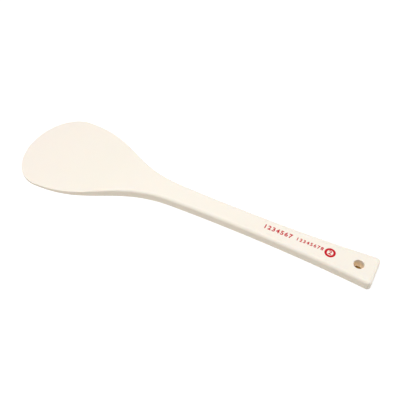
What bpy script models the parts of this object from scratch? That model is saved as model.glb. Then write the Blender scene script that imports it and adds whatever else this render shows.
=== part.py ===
# A plastic turner: a flat rice-paddle of cream plastic, moulded in one piece.
#
# The blade, the neck and the handle are one moulding, with no seam between them.
# The handle's edges are long hollow curves, the neck flares into the blade's
# shoulders, and the blade ends in half an ellipse. The underside is flat from end
# to end. The top is flat along the handle, falls away over the blade's shoulders in
# one smooth S, and runs out thin to the tip. Its soft rim narrows with it. A round
# hole near the handle's end hangs it up.
#
# Frame: metres, +Z up, lying on its flat underside at z = 0. +X points to the
# handle's end, the blade's tip is at -X, and the outline is symmetric about Y = 0.

import math

import bmesh
import bpy
from mathutils import Vector
from mathutils.geometry import interpolate_bezier
from mathutils.kdtree import KDTree

# Driving dimensions, in metres and radians

# Along the turner
HANDLE_LENGTH = 0.192        # handle's end to the neck, where the edges start to flare
BLADE_LENGTH = 0.168         # neck to the blade's tip
NOSE_LENGTH = 0.037          # widest point of the blade to its tip, half an ellipse

# Across the turner
END_WIDTH = 0.031            # handle's end, before its corners are rounded
NECK_WIDTH = 0.0223          # where the handle's edges hand over to the flare
BLADE_WIDTH = 0.098          # widest point of the blade

# Direction of the edges, and how far each curve follows it before it turns
END_TAPER = math.radians(4.9)        # how fast each edge draws in, at the handle's end
NECK_FLARE = math.radians(1.9)       # how fast each edge already opens, at the neck
END_PULL = 0.32              # share of the handle's length
NECK_PULL_BACK = 0.31        # share of the handle's length
NECK_PULL = 0.47             # share of the way from the neck to the widest point
SHOULDER_PULL = 0.46         # the same, measured back from the widest point

# Through the turner
THICKNESS = 0.0095           # handle
TIP_THICKNESS = 0.0012       # blade's tip
THINNING_LENGTH = 0.210      # blade's tip back to where the top starts to fall
LEVEL_PULL = 0.80            # how firmly the side line leaves the handle level, as a share of that
TIP_PULL = 0.70              # how firmly it keeps the tip's slope, as a share of that
TIP_SLOPE = math.radians(1.5)        # slope of the top at the blade's tip
TOP_ROUND = 0.0031           # rounding of the top's rim, along the handle
BOTTOM_ROUND = 0.0008        # rounding of the underside's rim, along the handle
ROUND_LIMIT = 0.45           # most of the thickness that one rounding may take
RIM_POWER = 3.0              # the roundings shrink with the thickness, raised to this power
RIM_LEAST = 0.12             # share of them that is left at no thickness
CORNER_EXTRA = 0.0007        # by how much the handle's two corners are rounder than the rims

# Hanging hole
HOLE_DIAMETER = 0.009
HOLE_FROM_END = 0.0155       # hole's centre to the handle's end
HOLE_LIP = 0.0007            # rounding of the hole's two rims
LIP_SWEEP = math.radians(75)         # how far round the lip turns before it meets the face

# Fineness of the mesh
CURVE_STEPS = 18             # straight pieces in each curve of the outline
ROUND_STEPS = 3              # faces across a rounded edge or lip
FALL_STRIPS = 16             # flat strips that make up the top's fall to the tip
HOLE_STEPS = 40              # faces round the hole

# Fixed numbers
ELLIPSE_HANDLE = 0.5523      # Bezier handle of a quarter ellipse, as a share of its radius
MERGE = 0.000001             # points closer than this are one point
LEVEL = 0.5                  # a face whose normal leans less than this is a flat one
SHARP = math.radians(40)     # edges sharper than this are shaded as edges

# Finish
CREAM = (0.90, 0.84, 0.73, 1.0)
SATIN = 0.45

# Sizes that follow from those
LENGTH = HANDLE_LENGTH + BLADE_LENGTH
END_CORNER = max(TOP_ROUND, BOTTOM_ROUND) + CORNER_EXTRA


def clear_scene():
    for old in list(bpy.data.objects):
        bpy.data.objects.remove(old, do_unlink=True)


def new_collection(name):
    collection = bpy.data.collections.new(name)
    bpy.context.scene.collection.children.link(collection)
    return collection


def plan(from_end, across):
    """A point of the outline, given from the handle's end and from the centre line."""
    return Vector((LENGTH / 2 - from_end, across, 0.0))


def along(angle, reach):
    """A step of the given reach towards the blade, opening outwards by the angle."""
    return Vector((-math.cos(angle) * reach, math.sin(angle) * reach, 0.0))


def edge_points():
    """One edge of the outline as Bezier points: (handle before, point, handle after).

    They run from the handle's end to the widest point of the blade, on the +Y side.
    """
    half_end = END_WIDTH / 2
    widest_from_end = LENGTH - NOSE_LENGTH
    flare_run = widest_from_end - HANDLE_LENGTH
    bend = ELLIPSE_HANDLE * END_CORNER

    corner_start = plan(0, half_end - END_CORNER)
    corner_end = plan(END_CORNER, half_end - END_CORNER * math.tan(END_TAPER))
    neck = plan(HANDLE_LENGTH, NECK_WIDTH / 2)
    widest = plan(widest_from_end, BLADE_WIDTH / 2)
    return [
        (
            corner_start,
            corner_start,
            corner_start + Vector((0, bend, 0)),
        ),
        (
            corner_end - along(-END_TAPER, bend),
            corner_end,
            corner_end + along(-END_TAPER, END_PULL * HANDLE_LENGTH),
        ),
        (
            neck - along(NECK_FLARE, NECK_PULL_BACK * HANDLE_LENGTH),
            neck,
            neck + along(NECK_FLARE, NECK_PULL * flare_run),
        ),
        (
            widest - along(0, SHOULDER_PULL * flare_run),
            widest,
            widest + along(0, ELLIPSE_HANDLE * NOSE_LENGTH),
        ),
    ]


def mirrored(point):
    """The same Bezier point on the -Y side, where the outline runs the other way."""
    before, middle, after = point
    flip = Vector((1, -1, 1))
    return after * flip, middle * flip, before * flip


def outline_curve():
    """The whole outline as a filled 2D curve, as thick as the handle."""
    edge = edge_points()
    tip = plan(LENGTH, 0)
    tip_bend = Vector((0, ELLIPSE_HANDLE * BLADE_WIDTH / 2, 0))
    points = edge + [(tip + tip_bend, tip, tip - tip_bend)]
    points += [mirrored(point) for point in reversed(edge)]

    curve = bpy.data.curves.new("turner_outline", "CURVE")
    curve.dimensions = "2D"
    curve.fill_mode = "BOTH"
    curve.extrude = THICKNESS / 2
    curve.resolution_u = CURVE_STEPS
    spline = curve.splines.new("BEZIER")
    spline.bezier_points.add(len(points) - 1)
    for knot, (before, middle, after) in zip(spline.bezier_points, points):
        knot.handle_left_type = "FREE"
        knot.handle_right_type = "FREE"
        knot.co = middle
        knot.handle_left = before
        knot.handle_right = after
    # the handle's end is one straight line, from the last point back to the first
    spline.bezier_points[0].handle_left_type = "VECTOR"
    spline.bezier_points[-1].handle_right_type = "VECTOR"
    spline.use_cyclic_u = True
    return curve


def mesh_of(data, name):
    """The mesh that an object with this data evaluates to."""
    holder = bpy.data.objects.new(name + "_source", data)
    bpy.context.scene.collection.objects.link(holder)
    evaluated = holder.evaluated_get(bpy.context.evaluated_depsgraph_get())
    mesh = bpy.data.meshes.new_from_object(evaluated)
    mesh.name = name
    bpy.data.objects.remove(holder, do_unlink=True)
    return mesh


def rounding(size):
    """A rounding's size, kept small enough for the thickness."""
    return min(size, THICKNESS * ROUND_LIMIT)


def round_rim(shape, up, size):
    """Round the rim of the top (up is 1) or of the underside (up is -1), evenly all round."""
    flat = [face for face in shape.faces if face.normal.z * up > LEVEL]
    bmesh.ops.dissolve_faces(shape, faces=flat, use_verts=False)
    flat = [face for face in shape.faces if face.normal.z * up > LEVEL]
    bmesh.ops.bevel(
        shape,
        geom=list({edge for face in flat for edge in face.edges}),
        offset=rounding(size),
        offset_type="OFFSET",
        segments=ROUND_STEPS,
        profile=0.5,
        affect="EDGES",
        clamp_overlap=False,
    )


def side_line():
    """The top seen from the side: (distance from the tip, thickness), tip first."""
    tip = Vector((0, TIP_THICKNESS))
    reach = TIP_PULL * THINNING_LENGTH
    tip_side = tip + Vector((reach, reach * math.tan(TIP_SLOPE)))
    level = Vector((THINNING_LENGTH, THICKNESS))
    level_side = level - Vector((LEVEL_PULL * THINNING_LENGTH, 0))
    points = interpolate_bezier(tip, tip_side, level_side, level, FALL_STRIPS + 1)
    return [(point[0], point[1]) for point in points]


def thickness_at(from_tip, line):
    """Thickness at a distance from the tip, straight between two points of the side line."""
    for (low, low_thickness), (high, high_thickness) in zip(line, line[1:]):
        if from_tip <= high:
            share = (from_tip - low) / (high - low)
            return low_thickness * (1 - share) + high_thickness * share
    return THICKNESS


def narrow_rims(shape, line):
    """Shrink both roundings with the thickness, each towards the wall that it starts from.

    The foot of a rounding's point is the nearest point of the side wall, seen from above.
    """
    half = THICKNESS / 2
    lowest = rounding(BOTTOM_ROUND) - half - MERGE
    highest = half - rounding(TOP_ROUND) + MERGE
    walls = [vert for vert in shape.verts if lowest < vert.co.z < highest]
    feet = KDTree(len(walls))
    for index, vert in enumerate(walls):
        feet.insert((vert.co.x, vert.co.y, 0), index)
    feet.balance()
    for vert in shape.verts:
        foot = feet.find((vert.co.x, vert.co.y, 0))[0]
        thinning = thickness_at(foot.x + LENGTH / 2, line) / THICKNESS
        share = RIM_LEAST + (1 - RIM_LEAST) * thinning ** RIM_POWER
        face = math.copysign(half, vert.co.z)
        vert.co.x = foot.x + (vert.co.x - foot.x) * share
        vert.co.y = foot.y + (vert.co.y - foot.y) * share
        vert.co.z = face + (vert.co.z - face) * share


def thin_to_tip(shape):
    """Narrow the rims, cut the slab into strips, and lower the top to the side line.

    Between two cuts the thickness runs straight, so that every strip stays flat.
    """
    line = side_line()
    narrow_rims(shape, line)
    for cut, _ in line[1:]:
        bmesh.ops.bisect_plane(
            shape,
            geom=shape.verts[:] + shape.edges[:] + shape.faces[:],
            dist=MERGE,
            plane_co=(cut - LENGTH / 2, 0, 0),
            plane_no=(1, 0, 0),
        )
    for vert in shape.verts:
        lowering = THICKNESS - thickness_at(vert.co.x + LENGTH / 2, line)
        if vert.co.z > 0:
            vert.co.z -= lowering
        vert.co.z += THICKNESS / 2


def paddle_mesh():
    """Outline, rounded edges and thinning, with the hole still uncut."""
    mesh = mesh_of(outline_curve(), "paddle")
    shape = bmesh.new()
    shape.from_mesh(mesh)
    bmesh.ops.remove_doubles(shape, verts=shape.verts[:], dist=MERGE)
    bmesh.ops.recalc_face_normals(shape, faces=shape.faces[:])
    round_rim(shape, 1, TOP_ROUND)
    round_rim(shape, -1, BOTTOM_ROUND)
    thin_to_tip(shape)
    shape.to_mesh(mesh)
    shape.free()
    return mesh


def hole_profile():
    """Half the hole's section, top to bottom, with both rims rounded outwards."""
    lip = []
    for step in range(ROUND_STEPS + 1):
        angle = LIP_SWEEP * step / ROUND_STEPS
        out = HOLE_DIAMETER / 2 + HOLE_LIP * (1 - math.cos(angle))
        up = THICKNESS - HOLE_LIP * (1 - math.sin(angle))
        lip.append((out, up))
    # straight on past the face, the way the lip was heading
    out, up = lip[-1]
    lip.append((out + HOLE_LIP * math.sin(LIP_SWEEP), up + HOLE_LIP * math.cos(LIP_SWEEP)))
    upper = list(reversed(lip))
    lower = [(out, THICKNESS - up) for out, up in lip]
    return [(0.0, upper[0][1])] + upper + lower + [(0.0, lower[-1][1])]


def hole_cutter(collection):
    """The hole as a turned solid, standing where the hole goes."""
    mesh = bpy.data.meshes.new("hanging_hole_cutter")
    verts = [(out, 0.0, up) for out, up in hole_profile()]
    edges = [(index, index + 1) for index in range(len(verts) - 1)]
    mesh.from_pydata(verts, edges, [])
    cutter = bpy.data.objects.new("hanging_hole_cutter", mesh)
    collection.objects.link(cutter)
    cutter.location = plan(HOLE_FROM_END, 0)
    turn = cutter.modifiers.new("turn", "SCREW")
    turn.steps = HOLE_STEPS
    turn.render_steps = HOLE_STEPS
    turn.use_merge_vertices = True
    turn.merge_threshold = MERGE
    cutter.hide_render = True
    cutter.display_type = "WIRE"
    return cutter


def cream_plastic():
    material = bpy.data.materials.new("cream_plastic")
    material.use_nodes = True
    shader = material.node_tree.nodes["Principled BSDF"]
    shader.inputs["Base Color"].default_value = CREAM
    shader.inputs["Roughness"].default_value = SATIN
    shader.inputs["Metallic"].default_value = 0.0
    return material


def main():
    clear_scene()
    parts = new_collection("plastic_turner")
    cutters = new_collection("cutters")

    paddle = bpy.data.objects.new("paddle", paddle_mesh())
    parts.objects.link(paddle)
    paddle.data.materials.append(cream_plastic())

    hole = paddle.modifiers.new("hanging_hole", "BOOLEAN")
    hole.operation = "DIFFERENCE"
    hole.solver = "EXACT"
    hole.object = hole_cutter(cutters)

    paddle.data.shade_smooth()
    paddle.data.set_sharp_from_angle(angle=SHARP)


main()
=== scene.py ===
# %% [markdown]
# A cream plastic turner
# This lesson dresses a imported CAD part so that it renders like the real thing. The
# object is a flat turner of the rice-paddle kind, moulded in one piece, with a hanging
# hole and small red numbers on its handle. There is little to hide behind: the look
# depends on the exact outline, on how each rim is rounded, and on one good plastic.

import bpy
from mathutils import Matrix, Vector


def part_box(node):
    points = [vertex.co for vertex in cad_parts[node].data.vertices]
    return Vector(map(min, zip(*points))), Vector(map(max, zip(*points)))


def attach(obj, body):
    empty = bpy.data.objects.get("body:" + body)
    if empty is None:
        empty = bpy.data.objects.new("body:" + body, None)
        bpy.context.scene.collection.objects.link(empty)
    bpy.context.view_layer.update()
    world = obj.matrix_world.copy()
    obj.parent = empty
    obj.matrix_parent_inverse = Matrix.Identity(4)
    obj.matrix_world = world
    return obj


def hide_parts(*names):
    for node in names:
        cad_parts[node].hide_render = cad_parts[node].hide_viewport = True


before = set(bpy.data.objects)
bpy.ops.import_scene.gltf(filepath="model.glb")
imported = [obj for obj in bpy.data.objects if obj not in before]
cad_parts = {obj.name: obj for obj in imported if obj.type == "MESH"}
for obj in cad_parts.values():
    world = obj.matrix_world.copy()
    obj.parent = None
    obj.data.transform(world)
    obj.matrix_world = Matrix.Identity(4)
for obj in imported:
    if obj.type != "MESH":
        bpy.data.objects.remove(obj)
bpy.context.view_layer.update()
print("CAD nodes:", sorted(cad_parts))

# %% [markdown]
# Sizes come from the frame
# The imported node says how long, wide and thick the turner is. Everything else in this
# file is placed from those three numbers, in metres, with the blade's tip at -X, the
# handle's end at +X and the flat underside at z = 0.

# %% Read the three overall sizes
import math

import bmesh
import bpy
import numpy as np
from mathutils import Vector
from mathutils.geometry import interpolate_bezier

MM = 0.001
lowest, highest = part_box("paddle")
LENGTH = highest.x - lowest.x
BLADE_WIDTH = highest.y - lowest.y
THICKNESS = highest.z - lowest.z
print(f"turner: {LENGTH / MM:.1f} x {BLADE_WIDTH / MM:.1f} x {THICKNESS / MM:.1f} mm")

# %% [markdown]
# The camera comes first
# A product picture like this one is taken from above and to the front right, from
# close by, so the handle's end looks larger than the blade. The camera looks at the
# middle of the turner's underside. Its picture is then shifted a little to frame the
# turner, which is better than turning the camera, because the perspective stays.

# %% Place the camera
PICTURE_SIZE = 400                   # pixels, both ways
CAMERA_TURN = math.radians(27.80)    # how far round from the front it stands
CAMERA_RISE = math.radians(49.26)    # how high it looks down from
CAMERA_DISTANCE = 578.9 * MM
FOCAL_LENGTH = 612.5                 # pixels
SHIFT_LEFT = 11.81                   # pixels that the turner is moved to the left
SHIFT_DOWN = 3.17                    # pixels that it is moved down
SENSOR_WIDTH = 36                    # millimetres

camera_data = bpy.data.cameras.new("photo_camera")
camera_data.sensor_width = SENSOR_WIDTH
camera_data.lens = FOCAL_LENGTH / PICTURE_SIZE * SENSOR_WIDTH
camera_data.shift_x = SHIFT_LEFT / PICTURE_SIZE
camera_data.shift_y = SHIFT_DOWN / PICTURE_SIZE
camera_data.clip_start = 10 * MM
camera = bpy.data.objects.new("photo_camera", camera_data)
camera.rotation_euler = (math.pi / 2 - CAMERA_RISE, 0, CAMERA_TURN)
camera.location = CAMERA_DISTANCE * Vector((
    math.sin(CAMERA_TURN) * math.cos(CAMERA_RISE),
    -math.cos(CAMERA_TURN) * math.cos(CAMERA_RISE),
    math.sin(CAMERA_RISE),
))
bpy.context.scene.collection.objects.link(camera)
bpy.context.scene.camera = camera
print(f"lens {camera_data.lens:.1f} mm at {CAMERA_DISTANCE:.3f} m")

# %% [markdown]
# Wiring materials without a mouse
# A material is a set of nodes and the links between them. The first of these two small
# helpers gives an empty set, and the second adds a node with its settings and links, so
# that each material below reads like a recipe.


# %% Two helpers for node trees
def new_tree(material):
    """An empty node tree for a material or a world."""
    material.use_nodes = True
    material.node_tree.nodes.clear()
    return material.node_tree


def add_node(tree, kind, settings=None, **inputs):
    """A node of the given kind, with its inputs set to values or linked to sockets.

    An input goes by its name, or by its place as _0, _1 and so on where several share one.
    """
    node = tree.nodes.new(kind)
    for name, value in (settings or {}).items():
        setattr(node, name, value)
    for name, value in inputs.items():
        key = int(name[1:]) if name[0] == "_" else name.replace("_", " ")
        socket = node.inputs[key]
        if isinstance(value, bpy.types.NodeSocket):
            tree.links.new(value, socket)
        else:
            socket.default_value = value
    return node


# %% [markdown]
# Two questions that a material can ask
# Is this ray one that shows something to the eye, or one that only carries light? And
# how far is this point from the hanging hole? The floor, the room and the plastic all
# need an answer, so each question gets a helper of its own.


# %% Two helpers that answer them
def seen_by_eye(tree):
    """1 for rays that show something to the camera, directly or in gloss and glass."""
    path = add_node(tree, "ShaderNodeLightPath")
    seen_or_glossed = add_node(tree, "ShaderNodeMath", {"operation": "MAXIMUM"},
                               _0=path.outputs["Is Camera Ray"],
                               _1=path.outputs["Is Glossy Ray"])
    seen_anyhow = add_node(tree, "ShaderNodeMath", {"operation": "MAXIMUM"},
                           _0=seen_or_glossed.outputs[0],
                           _1=path.outputs["Is Transmission Ray"])
    return seen_anyhow.outputs[0]


HOLE_FROM_END = 15.5 * MM
hole_centre = Vector((highest.x - HOLE_FROM_END, 0, 0))


def distance_from_hole(tree):
    """Distance from the hanging hole's axis, for any point of the turner or floor."""
    place = add_node(tree, "ShaderNodeTexCoord")
    offset = add_node(tree, "ShaderNodeVectorMath", {"operation": "SUBTRACT"},
                      _0=place.outputs["Object"], _1=hole_centre)
    flat = add_node(tree, "ShaderNodeVectorMath", {"operation": "MULTIPLY"},
                    _0=offset.outputs[0], _1=(1, 1, 0))
    length = add_node(tree, "ShaderNodeVectorMath", {"operation": "LENGTH"},
                      _0=flat.outputs[0])
    return length.outputs["Value"]


print(f"hanging hole at x = {hole_centre.x / MM:.1f} mm")

# %% [markdown]
# A white floor that still holds a shadow
# The picture's ground is pure white. Turning the lamps up until a floor burns out would
# burn out the pale plastic too. Instead the floor is ordinary warm white paper for the
# light that falls on the turner, and a nearly white glowing one for the camera. A small
# share of ordinary shading is kept in what the camera sees, so a soft contact shadow
# stays. Far out, where no shadow falls, the glow rises to full white, so that the floor
# meets the white room without a horizon. The small patch that shows through the hanging
# hole is the exception: the glow is left out there, or the hole would look like a lamp,
# and the patch gets painted shade, a dark warm brown for the turner's shadow there.

# %% Build the floor
FLOOR_SIZE = 6.0
FLOOR_GAP = 0.05 * MM                # below the turner, so that no two faces share a plane
FLOOR_PAPER = (0.87, 0.82, 0.75, 1)  # for the light that bounces off it
FLOOR_SHADE = 0.30                   # ordinary shading left in what the camera sees
FLOOR_GLOW = 0.80                    # near the turner, where its shadow falls
SHADOW_REACH = 0.5                   # metres from the hole to where the glow starts to rise
WHITE_REACH = 2.0                    # metres to where the glow is full
HOLE_RADIUS = 4.5 * MM
# painted shade: a dark warm brown for the floor that the turner shades under its hole
PAINTED_SHADE_UNDER_HOLE = (0.19, 0.11, 0.03, 1)   # the small patch that shows through the hole
PAINTED_SHADE_RADIUS = HOLE_RADIUS * 1.5

floor_material = bpy.data.materials.new("studio_floor")
tree = new_tree(floor_material)
pale = add_node(tree, "ShaderNodeBsdfDiffuse", Color=FLOOR_PAPER)
from_hole = distance_from_hole(tree)
# painted shade: within this radius of the hole the floor takes the dark brown and no glow
beyond_painted_shade = add_node(tree, "ShaderNodeMath", {"operation": "GREATER_THAN"},
                   _0=from_hole, _1=PAINTED_SHADE_RADIUS)
shade_share_and_painted_shade = add_node(tree, "ShaderNodeMix", {"data_type": "RGBA"}, _0=beyond_painted_shade.outputs[0],
                  _6=PAINTED_SHADE_UNDER_HOLE, _7=(FLOOR_SHADE,) * 3 + (1,))
plain = add_node(tree, "ShaderNodeBsdfDiffuse", Color=shade_share_and_painted_shade.outputs[2])
rising = add_node(tree, "ShaderNodeMapRange", _0=from_hole,
                  _1=SHADOW_REACH, _2=WHITE_REACH, _3=FLOOR_GLOW, _4=1.0)
strength = add_node(tree, "ShaderNodeMath", {"operation": "MULTIPLY"},
                    _0=beyond_painted_shade.outputs[0], _1=rising.outputs[0])
glow = add_node(tree, "ShaderNodeEmission", Strength=strength.outputs[0])
bright = add_node(tree, "ShaderNodeAddShader", _0=plain.outputs[0], _1=glow.outputs[0])
surface = add_node(tree, "ShaderNodeMixShader", Fac=seen_by_eye(tree),
                   _1=pale.outputs[0], _2=bright.outputs[0])
add_node(tree, "ShaderNodeOutputMaterial", Surface=surface.outputs[0])

shape = bmesh.new()
bmesh.ops.create_grid(shape, x_segments=1, y_segments=1, size=FLOOR_SIZE / 2)
floor_mesh = bpy.data.meshes.new("studio_floor")
shape.to_mesh(floor_mesh)
shape.free()
floor_mesh.materials.append(floor_material)
floor = bpy.data.objects.new("studio_floor", floor_mesh)
floor.location.z = -FLOOR_GAP
bpy.context.scene.collection.objects.link(floor)
print("floor:", FLOOR_SIZE, "m square")

# %% [markdown]
# Two softboxes and a bright room
# The top of the turner is almost white, its near side wall much greyer, and the end of
# the handle nearly as bright as the top. That takes three kinds of light. A wide
# softbox overhead, a little to the camera's side, lights the top and the rims. A second
# one stands low and far off beyond the handle's end, so it reaches the end face and
# little else. The room's own weak light fills the side wall, though to the eye the room
# is pure white. Together they light the top at a plain level, where a colour renders
# as it is written.

# %% Light the studio
SOFTBOX_SIZE = 0.8
TOP_POWER = 21.4                     # watts
TOP_PLACE = Vector((-0.13, -0.18, 1.5))
SIDE_POWER = 19.5
SIDE_PLACE = Vector((2.3, 1.3, 0.28))
ROOM_WHITE = (1, 1, 1, 1)            # what the eye sees of the room
ROOM_LIGHT = 0.156                   # how strongly it lights the turner


def add_softbox(name, place, power):
    """A square softbox that faces the turner."""
    lamp = bpy.data.lights.new(name, "AREA")
    lamp.shape = "SQUARE"
    lamp.size = SOFTBOX_SIZE
    lamp.energy = power
    softbox = bpy.data.objects.new(name, lamp)
    softbox.location = place
    softbox.rotation_euler = place.to_track_quat("Z", "Y").to_euler()
    bpy.context.scene.collection.objects.link(softbox)


add_softbox("top_softbox", TOP_PLACE, TOP_POWER)
add_softbox("side_softbox", SIDE_PLACE, SIDE_POWER)

world = bpy.data.worlds.new("bright_room")
tree = new_tree(world)
level = add_node(tree, "ShaderNodeMapRange", _0=seen_by_eye(tree), _3=ROOM_LIGHT, _4=1.0)
room = add_node(tree, "ShaderNodeBackground", Color=ROOM_WHITE,
                Strength=level.outputs[0])
add_node(tree, "ShaderNodeOutputWorld", Surface=room.outputs[0])
bpy.context.scene.world = world
bpy.context.scene.view_settings.view_transform = "Standard"
print("softboxes", TOP_POWER, "and", SIDE_POWER, "W, room", ROOM_LIGHT)

# %% [markdown]
# The outline of the turner
# Seen from above, each side is four curves: a small round corner at the end, the
# handle's long hollow edge, the neck that flares into the shoulder, and a quarter of an
# ellipse round the blade's nose. Bezier curves suit this well, because two neighbours
# that share a direction meet without a kink. Only the +Y side is drawn. The other side
# is its mirror image.

# %% Draw one side of the outline
HANDLE_LENGTH = 192 * MM
NOSE_LENGTH = 37 * MM
END_WIDTH = 31 * MM
NECK_WIDTH = 22.3 * MM
END_TAPER = math.radians(4.9)
NECK_FLARE = math.radians(1.9)
END_PULL = 0.32                      # how long each curve holds its direction, over its run
NECK_PULL_BACK = 0.31
NECK_PULL = 0.47
SHOULDER_PULL = 0.46
TOP_ROUND = 3.1 * MM
BOTTOM_ROUND = 0.8 * MM
CORNER_EXTRA = 0.7 * MM              # the end's corners are this much rounder than its rim
END_CORNER = TOP_ROUND + CORNER_EXTRA
QUARTER_CIRCLE = 0.5523              # Bezier handle of a quarter circle, over its radius
CORNER_STEPS = 8
EDGE_STEPS = 56
SHOULDER_STEPS = 64
NOSE_STEPS = 56


def plan(from_end, across):
    """A point of the plan, from the handle's end and from the centre line."""
    return Vector((highest.x - from_end, across, 0))


def along(angle, reach):
    """A step towards the blade that opens outwards by the angle."""
    return Vector((-math.cos(angle) * reach, math.sin(angle) * reach, 0))


flare_run = LENGTH - NOSE_LENGTH - HANDLE_LENGTH
end_start = plan(0, END_WIDTH / 2 - END_CORNER)
end_corner = plan(END_CORNER, END_WIDTH / 2 - END_CORNER * math.tan(END_TAPER))
neck = plan(HANDLE_LENGTH, NECK_WIDTH / 2)
widest = plan(LENGTH - NOSE_LENGTH, BLADE_WIDTH / 2)
tip = plan(LENGTH, 0)
corner_bend = QUARTER_CIRCLE * END_CORNER
edge_curves = [
    (end_start, end_start + Vector((0, corner_bend, 0)),
     end_corner - along(-END_TAPER, corner_bend), end_corner, CORNER_STEPS),
    (end_corner, end_corner + along(-END_TAPER, END_PULL * HANDLE_LENGTH),
     neck - along(NECK_FLARE, NECK_PULL_BACK * HANDLE_LENGTH), neck, EDGE_STEPS),
    (neck, neck + along(NECK_FLARE, NECK_PULL * flare_run),
     widest - along(0, SHOULDER_PULL * flare_run), widest, SHOULDER_STEPS),
    (widest, widest + along(0, QUARTER_CIRCLE * NOSE_LENGTH),
     tip + Vector((0, QUARTER_CIRCLE * BLADE_WIDTH / 2, 0)), tip, NOSE_STEPS),
]
edge_line = [end_start]
for start, pull, pull_back, stop, steps in edge_curves:
    edge_line += interpolate_bezier(start, pull, pull_back, stop, steps + 1)[1:]
edge_line = np.array([point[:2] for point in edge_line])
print("one side of the outline:", len(edge_line), "points")

# %% [markdown]
# Which way is inwards
# The rims are rounded by drawing the outline again and again, each time a little
# further in and a little higher. For that, every point needs its own direction
# inwards, square to the line. The first point lies on the straight end and the last one
# on the mirror line, so theirs are known exactly.

# %% Find the inward direction at every point
travel = np.gradient(edge_line, axis=0)
travel[0] = (0, 1)
travel[-1] = (0, -1)
travel /= np.linalg.norm(travel, axis=1)[:, None]
inward = np.column_stack([-travel[:, 1], travel[:, 0]])
ACROSS = 12                          # faces across the turner


def ring_at(insets):
    """The whole outline, every point drawn inwards by its own distance."""
    side = edge_line + inward * insets[:, None]
    other_side = side[-2::-1] * (1, -1)
    end_x, end_y = side[0]
    across_end = np.linspace(-end_y, end_y, ACROSS + 1)[1:-1]
    end = np.column_stack([np.full(len(across_end), end_x), across_end])
    return np.vstack([side, other_side, end])


print("points in a whole ring:", len(ring_at(np.zeros(len(edge_line)))))

# %% [markdown]
# The rims in section
# The underside's rim is crisp, because the two halves of the mould meet there, and the
# top's rim is soft in the hand. Each is a quarter circle, written down step by step:
# how far in, from which of the two faces, and how far up from that face.

# %% Describe the rims
BOTTOM_STEPS = 5
TOP_STEPS = 11

rim = []
for step in range(BOTTOM_STEPS + 1):
    turn = math.pi / 2 * step / BOTTOM_STEPS
    rim.append((BOTTOM_ROUND * (1 - math.sin(turn)), 0, BOTTOM_ROUND * (1 - math.cos(turn))))
for step in range(TOP_STEPS + 1):
    turn = math.pi / 2 * step / TOP_STEPS
    rim.append((TOP_ROUND * (1 - math.cos(turn)), 1, TOP_ROUND * (math.sin(turn) - 1)))
print("rings round the rims:", len(rim))

# %% [markdown]
# The fall to the tip
# Lengthwise the handle is evenly thick. The top then falls over the blade's shoulders
# in one smooth S, and runs out thin to the tip. One curve, drawn from the side, gives
# the thickness at any place. Both rims narrow faster than the plastic thins, so the
# blade's edge is crisp where the handle's is soft.

# %% Describe the thinning
TIP_THICKNESS = 1.2 * MM
THINNING_LENGTH = 210 * MM
LEVEL_PULL = 0.80                    # how firmly the side line leaves the handle level
TIP_PULL = 0.70                      # how firmly it keeps the tip's slope
TIP_SLOPE = math.radians(1.5)
SIDE_LINE_POINTS = 81
RIM_POWER = 3.0                      # the rims narrow with this power of the thickness
RIM_LEAST = 0.12                     # share of them that would be left at no thickness

tip_reach = TIP_PULL * THINNING_LENGTH
side_line = interpolate_bezier(
    Vector((0, TIP_THICKNESS)),
    Vector((tip_reach, TIP_THICKNESS + tip_reach * math.tan(TIP_SLOPE))),
    Vector(((1 - LEVEL_PULL) * THINNING_LENGTH, THICKNESS)),
    Vector((THINNING_LENGTH, THICKNESS)), SIDE_LINE_POINTS)
side_line = np.array([point[:2] for point in side_line])


def thickness_at(x):
    """Thickness at a place along the turner."""
    return float(np.interp(x - lowest.x, side_line[:, 0], side_line[:, 1]))


def rim_share(x):
    """Size of the rims at a place along the turner, as a share of the handle's."""
    return RIM_LEAST + (1 - RIM_LEAST) * (thickness_at(x) / THICKNESS) ** RIM_POWER


def placed(x, y, side, rise):
    """A point at a rise from the underside (side is 0) or from the top (side is 1)."""
    return x, y, side * thickness_at(x) + rise * rim_share(x)


narrowing = np.array([rim_share(x) for x in edge_line[:, 0]])
print(f"thickness at the middle {thickness_at(0) / MM:.1f} mm, at the tip "
      f"{thickness_at(lowest.x) / MM:.1f} mm")

# %% [markdown]
# A skin made of rings and rows
# A boolean or a bevel would leave long thin faces on so flat a thing. Rings round the
# rim and rows across the two flats give even four-sided faces instead, which take
# smooth shading well and bake cleanly.


# %% Build the skin
def close_flat(shape, ring, up):
    """Rows of faces across the flat that a ring surrounds."""
    stations = len(edge_line)
    rows = []
    for index in range(stations - 1):
        left = ring[index]
        right = ring[2 * (stations - 1) - index]
        if index == 0:
            middle = list(reversed(ring[2 * stations - 1:]))
        else:
            ys = np.linspace(left.co.y, right.co.y, ACROSS + 1)[1:-1]
            middle = [shape.verts.new(placed(left.co.x, y, int(up), 0.0)) for y in ys]
        rows.append([left, *middle, right])
    for row, following in zip(rows, rows[1:]):
        for k in range(ACROSS):
            face = [row[k], following[k], following[k + 1], row[k + 1]]
            shape.faces.new(face if up else reversed(face))
    for k in range(ACROSS):
        face = [rows[-1][k], ring[stations - 1], rows[-1][k + 1]]
        shape.faces.new(face if up else reversed(face))


shape = bmesh.new()
rings = []
for inset, side, rise in rim:
    points = ring_at(inset * narrowing)
    rings.append([shape.verts.new(placed(x, y, side, rise)) for x, y in points])
for lower, upper in zip(rings, rings[1:]):
    for index, vertex in enumerate(lower):
        following = (index + 1) % len(lower)
        shape.faces.new([vertex, lower[following], upper[following], upper[index]])
close_flat(shape, rings[0], up=False)
close_flat(shape, rings[-1], up=True)
skin = bpy.data.meshes.new("turner")
shape.to_mesh(skin)
shape.free()
print("skin:", len(skin.polygons), "faces")

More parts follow.
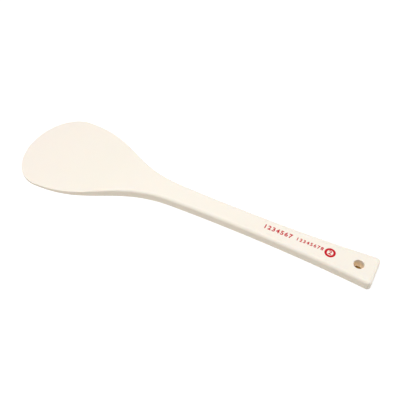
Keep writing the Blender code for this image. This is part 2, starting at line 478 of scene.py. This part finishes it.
# %% [markdown]
# A tool for the hanging hole
# The hole goes straight through, with a small round lip at both faces. It is cut with
# a turned tool: half of its section is drawn once and spun about the hole's axis, the
# way a countersink is made. The tool leaves the face at a slight angle, not along it,
# because a cut that only grazes a face is hard to work out.

# %% Turn the tool
HOLE_LIP = 0.7 * MM
LIP_SWEEP = math.radians(80)
LIP_STEPS = 8
HOLE_SIDES = 96
SAME_PLACE = 0.001 * MM              # points closer than this are merged

lip = []
for step in range(LIP_STEPS + 1):
    turn = LIP_SWEEP * step / LIP_STEPS
    lip.append((HOLE_RADIUS + HOLE_LIP * (1 - math.cos(turn)),
                THICKNESS - HOLE_LIP * (1 - math.sin(turn))))
out, height = lip[-1]
lip.append((out + HOLE_LIP * math.sin(LIP_SWEEP), height + HOLE_LIP * math.cos(LIP_SWEEP)))
upper_half = list(reversed(lip))
lower_half = [(out, THICKNESS - height) for out, height in lip]
section = [(0.0, upper_half[0][1])] + upper_half + lower_half + [(0.0, lower_half[-1][1])]

tool_mesh = bpy.data.meshes.new("hole_tool")
tool_mesh.from_pydata([(out, 0.0, height) for out, height in section],
                      [(index, index + 1) for index in range(len(section) - 1)], [])
tool = bpy.data.objects.new("hole_tool", tool_mesh)
tool.location = hole_centre
spin = tool.modifiers.new("spin", "SCREW")
spin.steps = HOLE_SIDES
spin.render_steps = HOLE_SIDES
spin.use_merge_vertices = True
spin.merge_threshold = SAME_PLACE
bpy.context.scene.collection.objects.link(tool)
print("points in the tool's section:", len(section))

# %% [markdown]
# Cutting the hole
# A boolean takes the tool's shape out of the skin. Its result is made a plain mesh at
# once, so that the tool can go. Where the cut meets a line of the skin it can leave two
# points in one place, and these are merged.


# %% Cut the hole
def settle(thing):
    """Turn an object and its modifiers into one plain mesh."""
    graph = bpy.context.evaluated_depsgraph_get()
    mesh = bpy.data.meshes.new_from_object(
        thing.evaluated_get(graph), preserve_all_data_layers=True, depsgraph=graph)
    thing.modifiers.clear()
    thing.data = mesh
    return mesh


def merge_close_points(mesh):
    """Merge what the cut left as two points in one place."""
    shape = bmesh.new()
    shape.from_mesh(mesh)
    bmesh.ops.remove_doubles(shape, verts=shape.verts, dist=SAME_PLACE)
    shape.to_mesh(mesh)
    shape.free()


turner = bpy.data.objects.new("turner", skin)
bpy.context.scene.collection.objects.link(turner)
cut = turner.modifiers.new("hanging_hole", "BOOLEAN")
cut.operation = "DIFFERENCE"
cut.solver = "EXACT"
cut.object = tool
merge_close_points(settle(turner))
bpy.data.objects.remove(tool, do_unlink=True)
print("with its hole:", len(turner.data.polygons), "faces")

# %% [markdown]
# Smooth rims beside flat faces
# Plain smooth shading lets the round rim tilt the edge of the flat beside it, which
# shows as a false sheen. Weighted normals give the large flat face the last word, so
# the roundness stays in the rim.

# %% Shade the skin
FLAT_WEIGHT = 80                     # 50 is neutral, and more favours the large faces

turner.data.shade_smooth()
weigh = turner.modifiers.new("weigh", "WEIGHTED_NORMAL")
weigh.mode = "FACE_AREA"
weigh.weight = FLAT_WEIGHT
settle(turner)
print("shaded:", turner.name)

# %% [markdown]
# The colour of the plastic
# The plastic is a warm off-white that drifts a little over centimetres. Towards the
# thin tip it deepens slightly, because less plastic is there to send the light back.
# Inside the hole, light bounces many times between cream walls and warms at each
# Inside the hole the wall gets painted shade: a tan that deepens with depth, for light
# that bounces many times between cream walls and warms at each bounce. Painted textures
# could hold all this, but mixing it from places on the turner needs no picture and no
# unwrapping.

# %% Mix the colour and the hole's painted shade
CREAM = (0.928, 0.868, 0.772, 1)
CREAM_DEEP = (0.915, 0.850, 0.748, 1)
CREAM_THIN = (0.908, 0.828, 0.740, 1)
# painted shade for the hole's wall, warm from the light that bounces inside it
HOLE_PAINTED_SHADE = (0.97, 0.78, 0.56, 1)
DRIFT_SCALE = 22.0                   # patches of about 45 mm
THIN_FROM_TIP = 85 * MM              # where the colour starts to deepen
# where the hole's wall gets its painted shade: near the wall, and from this height down
WALL_SHADE_CLOSE = 0.03 * MM              # the tan is full this close to the hole's wall,
WALL_SHADE_GONE = 0.15 * MM                 # and gone this far from it
WALL_SHADE_STARTS = 0.95                    # height on the wall where it starts, over the thickness
WALL_SHADE_FULL = 0.5                       # and where it is full

cream_plastic = bpy.data.materials.new("cream_plastic")
tree = new_tree(cream_plastic)
place = add_node(tree, "ShaderNodeTexCoord").outputs["Object"]
drift = add_node(tree, "ShaderNodeTexNoise", Vector=place, Scale=DRIFT_SCALE, Detail=3.0)
cream = add_node(tree, "ShaderNodeMix", {"data_type": "RGBA"},
                 _0=drift.outputs["Fac"], _6=CREAM, _7=CREAM_DEEP)
along_turner = add_node(tree, "ShaderNodeSeparateXYZ", _0=place)
thin = add_node(tree, "ShaderNodeMapRange", _0=along_turner.outputs["X"],
                _1=lowest.x + THIN_FROM_TIP, _2=lowest.x)
moulded = add_node(tree, "ShaderNodeMix", {"data_type": "RGBA"},
                   _0=thin.outputs[0], _6=cream.outputs[2], _7=CREAM_THIN)
# painted shade: the tan on the hole's wall, fuller further down
wall_shade_mask = add_node(tree, "ShaderNodeMapRange", _0=distance_from_hole(tree),
                   _1=HOLE_RADIUS + WALL_SHADE_CLOSE, _2=HOLE_RADIUS + WALL_SHADE_GONE, _3=1.0, _4=0.0)
wall_shade_depth = add_node(tree, "ShaderNodeMapRange", _0=along_turner.outputs["Z"],
                 _1=WALL_SHADE_STARTS * THICKNESS, _2=WALL_SHADE_FULL * THICKNESS)
# tan is the painted shade's share at each point of the hole's wall
tan = add_node(tree, "ShaderNodeMath", {"operation": "MULTIPLY"},
               _0=wall_shade_mask.outputs[0], _1=wall_shade_depth.outputs[0])
colour = add_node(tree, "ShaderNodeMix", {"data_type": "RGBA"},
                  _0=tan.outputs[0], _6=moulded.outputs[2], _7=HOLE_PAINTED_SHADE)
print("colour nodes:", len(tree.nodes))

# %% [markdown]
# The surface of the plastic
# It is satin rather than shiny, and slightly see-through: light goes a millimetre in
# and comes back warmer. The sheen varies a little over millimetres, and the surface
# carries the fine even grain of a blasted mould on long shallow waves. These are far too
# small to model, so two bumps do the work, the finer one laid under the coarser one.

# %% Give the plastic its surface
SHEEN_SCALE = 160.0                  # patches of about 6 mm
NOISE_LOW = 0.3                      # nearly all of the noise lies between these two
NOISE_HIGH = 0.7
SMOOTHEST = 0.55                     # roughness where the sheen is strongest
ROUGHEST = 0.65                      # and where it is weakest
GRAIN_SCALE = 2600.0                 # grains of about 0.4 mm
GRAIN_DEPTH = 0.02 * MM
WAVE_SCALE = 240.0                   # waves of about 4 mm
WAVE_DEPTH = 0.03 * MM

sheen = add_node(tree, "ShaderNodeTexNoise", Vector=place, Scale=SHEEN_SCALE, Detail=2.0)
roughness = add_node(tree, "ShaderNodeMapRange", _0=sheen.outputs["Fac"],
                     _1=NOISE_LOW, _2=NOISE_HIGH, _3=SMOOTHEST, _4=ROUGHEST)
grain = add_node(tree, "ShaderNodeTexNoise", Vector=place, Scale=GRAIN_SCALE, Detail=2.0)
fine = add_node(tree, "ShaderNodeBump", Strength=0.25, Distance=GRAIN_DEPTH,
                Height=grain.outputs["Fac"])
waves = add_node(tree, "ShaderNodeTexNoise", Vector=place, Scale=WAVE_SCALE, Detail=1.0)
bump = add_node(tree, "ShaderNodeBump", Strength=0.3, Distance=WAVE_DEPTH,
                Height=waves.outputs["Fac"], Normal=fine.outputs[0])
shader = add_node(tree, "ShaderNodeBsdfPrincipled",
                  Base_Color=colour.outputs[2], Roughness=roughness.outputs[0],
                  Normal=bump.outputs[0], Subsurface_Weight=0.12,
                  Subsurface_Radius=(1.0, 0.65, 0.4), Subsurface_Scale=1.5 * MM)
add_node(tree, "ShaderNodeOutputMaterial", Surface=shader.outputs[0])
turner.data.materials.clear()
turner.data.materials.append(cream_plastic)
print("all nodes of the plastic:", len(tree.nodes))

# %% [markdown]
# Red ink on the handle
# The numbers on the handle are printed with a soft pad, which lays down a thin red film
# with sharp edges and a slightly uneven cover. So the red is mixed from a full and a
# thinner one, in specks of about a millimetre, and it is duller than the plastic.

# %% Mix the ink
INK_RED = (0.54, 0.004, 0.015, 1)
INK_THIN = (0.62, 0.020, 0.035, 1)
INK_SCALE = 900.0                    # specks of about 1 mm
INK_IS_FULL = 0.45                   # the ink is full up to this much noise,
INK_IS_THIN = 0.8                    # and thinnest from this much on

red_ink = bpy.data.materials.new("red_ink")
tree = new_tree(red_ink)
place = add_node(tree, "ShaderNodeTexCoord").outputs["Object"]
cover = add_node(tree, "ShaderNodeTexNoise", Vector=place, Scale=INK_SCALE, Detail=3.0)
patchy = add_node(tree, "ShaderNodeMapRange", _0=cover.outputs["Fac"],
                  _1=INK_IS_FULL, _2=INK_IS_THIN)
ink_colour = add_node(tree, "ShaderNodeMix", {"data_type": "RGBA"},
                      _0=patchy.outputs[0], _6=INK_RED, _7=INK_THIN)
ink_shader = add_node(tree, "ShaderNodeBsdfPrincipled", Base_Color=ink_colour.outputs[2],
                      Roughness=0.5, Specular_IOR_Level=0.15)
add_node(tree, "ShaderNodeOutputMaterial", Surface=ink_shader.outputs[0])
print("ink nodes:", len(tree.nodes))

# %% [markdown]
# Print as real shapes
# A picture wrapped on the plastic could show the numbers too. Here each one is a shape
# that stands a few hundredths of a millimetre proud, so it stays sharp from close by
# and shows from every side. Text and curves give rough meshes, so each film is welded
# shut, its thinnest triangles are turned, and its faces are made to point outwards.

# %% Two helpers for printing
INK_FILM = 0.03 * MM


def ink_film(curve, from_end, across):
    """A flat curve or text as a thin film on the handle's top."""
    curve.extrude = INK_FILM
    holder = bpy.data.objects.new("ink_source", curve)
    bpy.context.scene.collection.objects.link(holder)
    graph = bpy.context.evaluated_depsgraph_get()
    mesh = bpy.data.meshes.new_from_object(holder.evaluated_get(graph))
    for vertex in mesh.vertices:
        vertex.co += plan(from_end, across) + Vector((0, 0, THICKNESS))
    bpy.data.objects.remove(holder, do_unlink=True)
    return mesh


def print_on(name, films):
    """One printed piece made of several films of ink."""
    shape = bmesh.new()
    for film in films:
        shape.from_mesh(film)
    bmesh.ops.remove_doubles(shape, verts=shape.verts, dist=SAME_PLACE)
    bmesh.ops.beautify_fill(shape, faces=shape.faces, edges=shape.edges, method="AREA")
    bmesh.ops.recalc_face_normals(shape, faces=shape.faces)
    mesh = bpy.data.meshes.new(name)
    shape.to_mesh(mesh)
    shape.free()
    mesh.materials.append(red_ink)
    piece = bpy.data.objects.new(name, mesh)
    bpy.context.scene.collection.objects.link(piece)
    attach(piece, "root")
    print(name, "has", len(mesh.polygons), "faces")


# %% [markdown]
# Two rows of numbers
# The first row is larger and bolder, and the second follows it towards the hole. Each
# number is a text object with slightly thickened strokes. They are placed one by one
# at an even step, so the length of a row doesn't depend on how wide the font draws its
# narrow and wide numbers.

# %% Print the numbers
ROW_START = 104.2 * MM               # from the handle's end, on the blade's side
ROW_ACROSS = 0.7 * MM                # from the centre line
ROW_GAP = 3.0 * MM
NUMBER_ROWS = [                      # how many, how high, and how far apart
    (7, 4.5 * MM, 4.0 * MM),
    (8, 3.4 * MM, 3.25 * MM),
]
GROWTH = 0.045                       # how much the strokes are thickened, over the height
NUMBER_SHARE = 0.7                   # height of a number in the font, over the text's size


def numeral(number, height):
    """A plain number with thick strokes."""
    text = bpy.data.curves.new("numeral", "FONT")
    text.body = str(number)
    text.align_x = "CENTER"
    text.align_y = "CENTER"
    text.size = height / NUMBER_SHARE
    text.offset = GROWTH * height
    return text


films = []
from_end = ROW_START
for count, height, step in NUMBER_ROWS:
    for number in range(1, count + 1):
        films.append(ink_film(numeral(number, height), from_end - step / 2, ROW_ACROSS))
        from_end -= step
    from_end -= ROW_GAP
print_on("handle_numbers", films)

# %% [markdown]
# A number in a ring
# Between the second row and the hole sits one more number in a bold ring. A flat curve
# with one circle inside another fills only the band between them, which is simpler
# than cutting a small disc out of a larger one.

# %% Print the ring with a number in it
MARK_FROM_END = 41.3 * MM
MARK_ACROSS = -0.1 * MM
RING_SIZE = 9.8 * MM
RING_WIDTH = 2.1 * MM
RING_STEPS = 48
RING_NUMBER = 2
RING_NUMBER_HEIGHT = 4.2 * MM

ring = bpy.data.curves.new("ring", "CURVE")
ring.dimensions = "2D"
ring.fill_mode = "BOTH"
for radius in (RING_SIZE / 2, RING_SIZE / 2 - RING_WIDTH):
    circle = ring.splines.new("POLY")
    circle.points.add(RING_STEPS - 1)
    for index, knot in enumerate(circle.points):
        turn = 2 * math.pi * index / RING_STEPS
        knot.co = (radius * math.cos(turn), radius * math.sin(turn), 0, 1)
    circle.use_cyclic_u = True
inside = numeral(RING_NUMBER, RING_NUMBER_HEIGHT)
films = [ink_film(curve, MARK_FROM_END, MARK_ACROSS) for curve in (ring, inside)]
print_on("handle_mark", films)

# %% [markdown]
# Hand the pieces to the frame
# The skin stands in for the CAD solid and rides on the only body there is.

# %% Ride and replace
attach(turner, "root")
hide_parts("paddle")
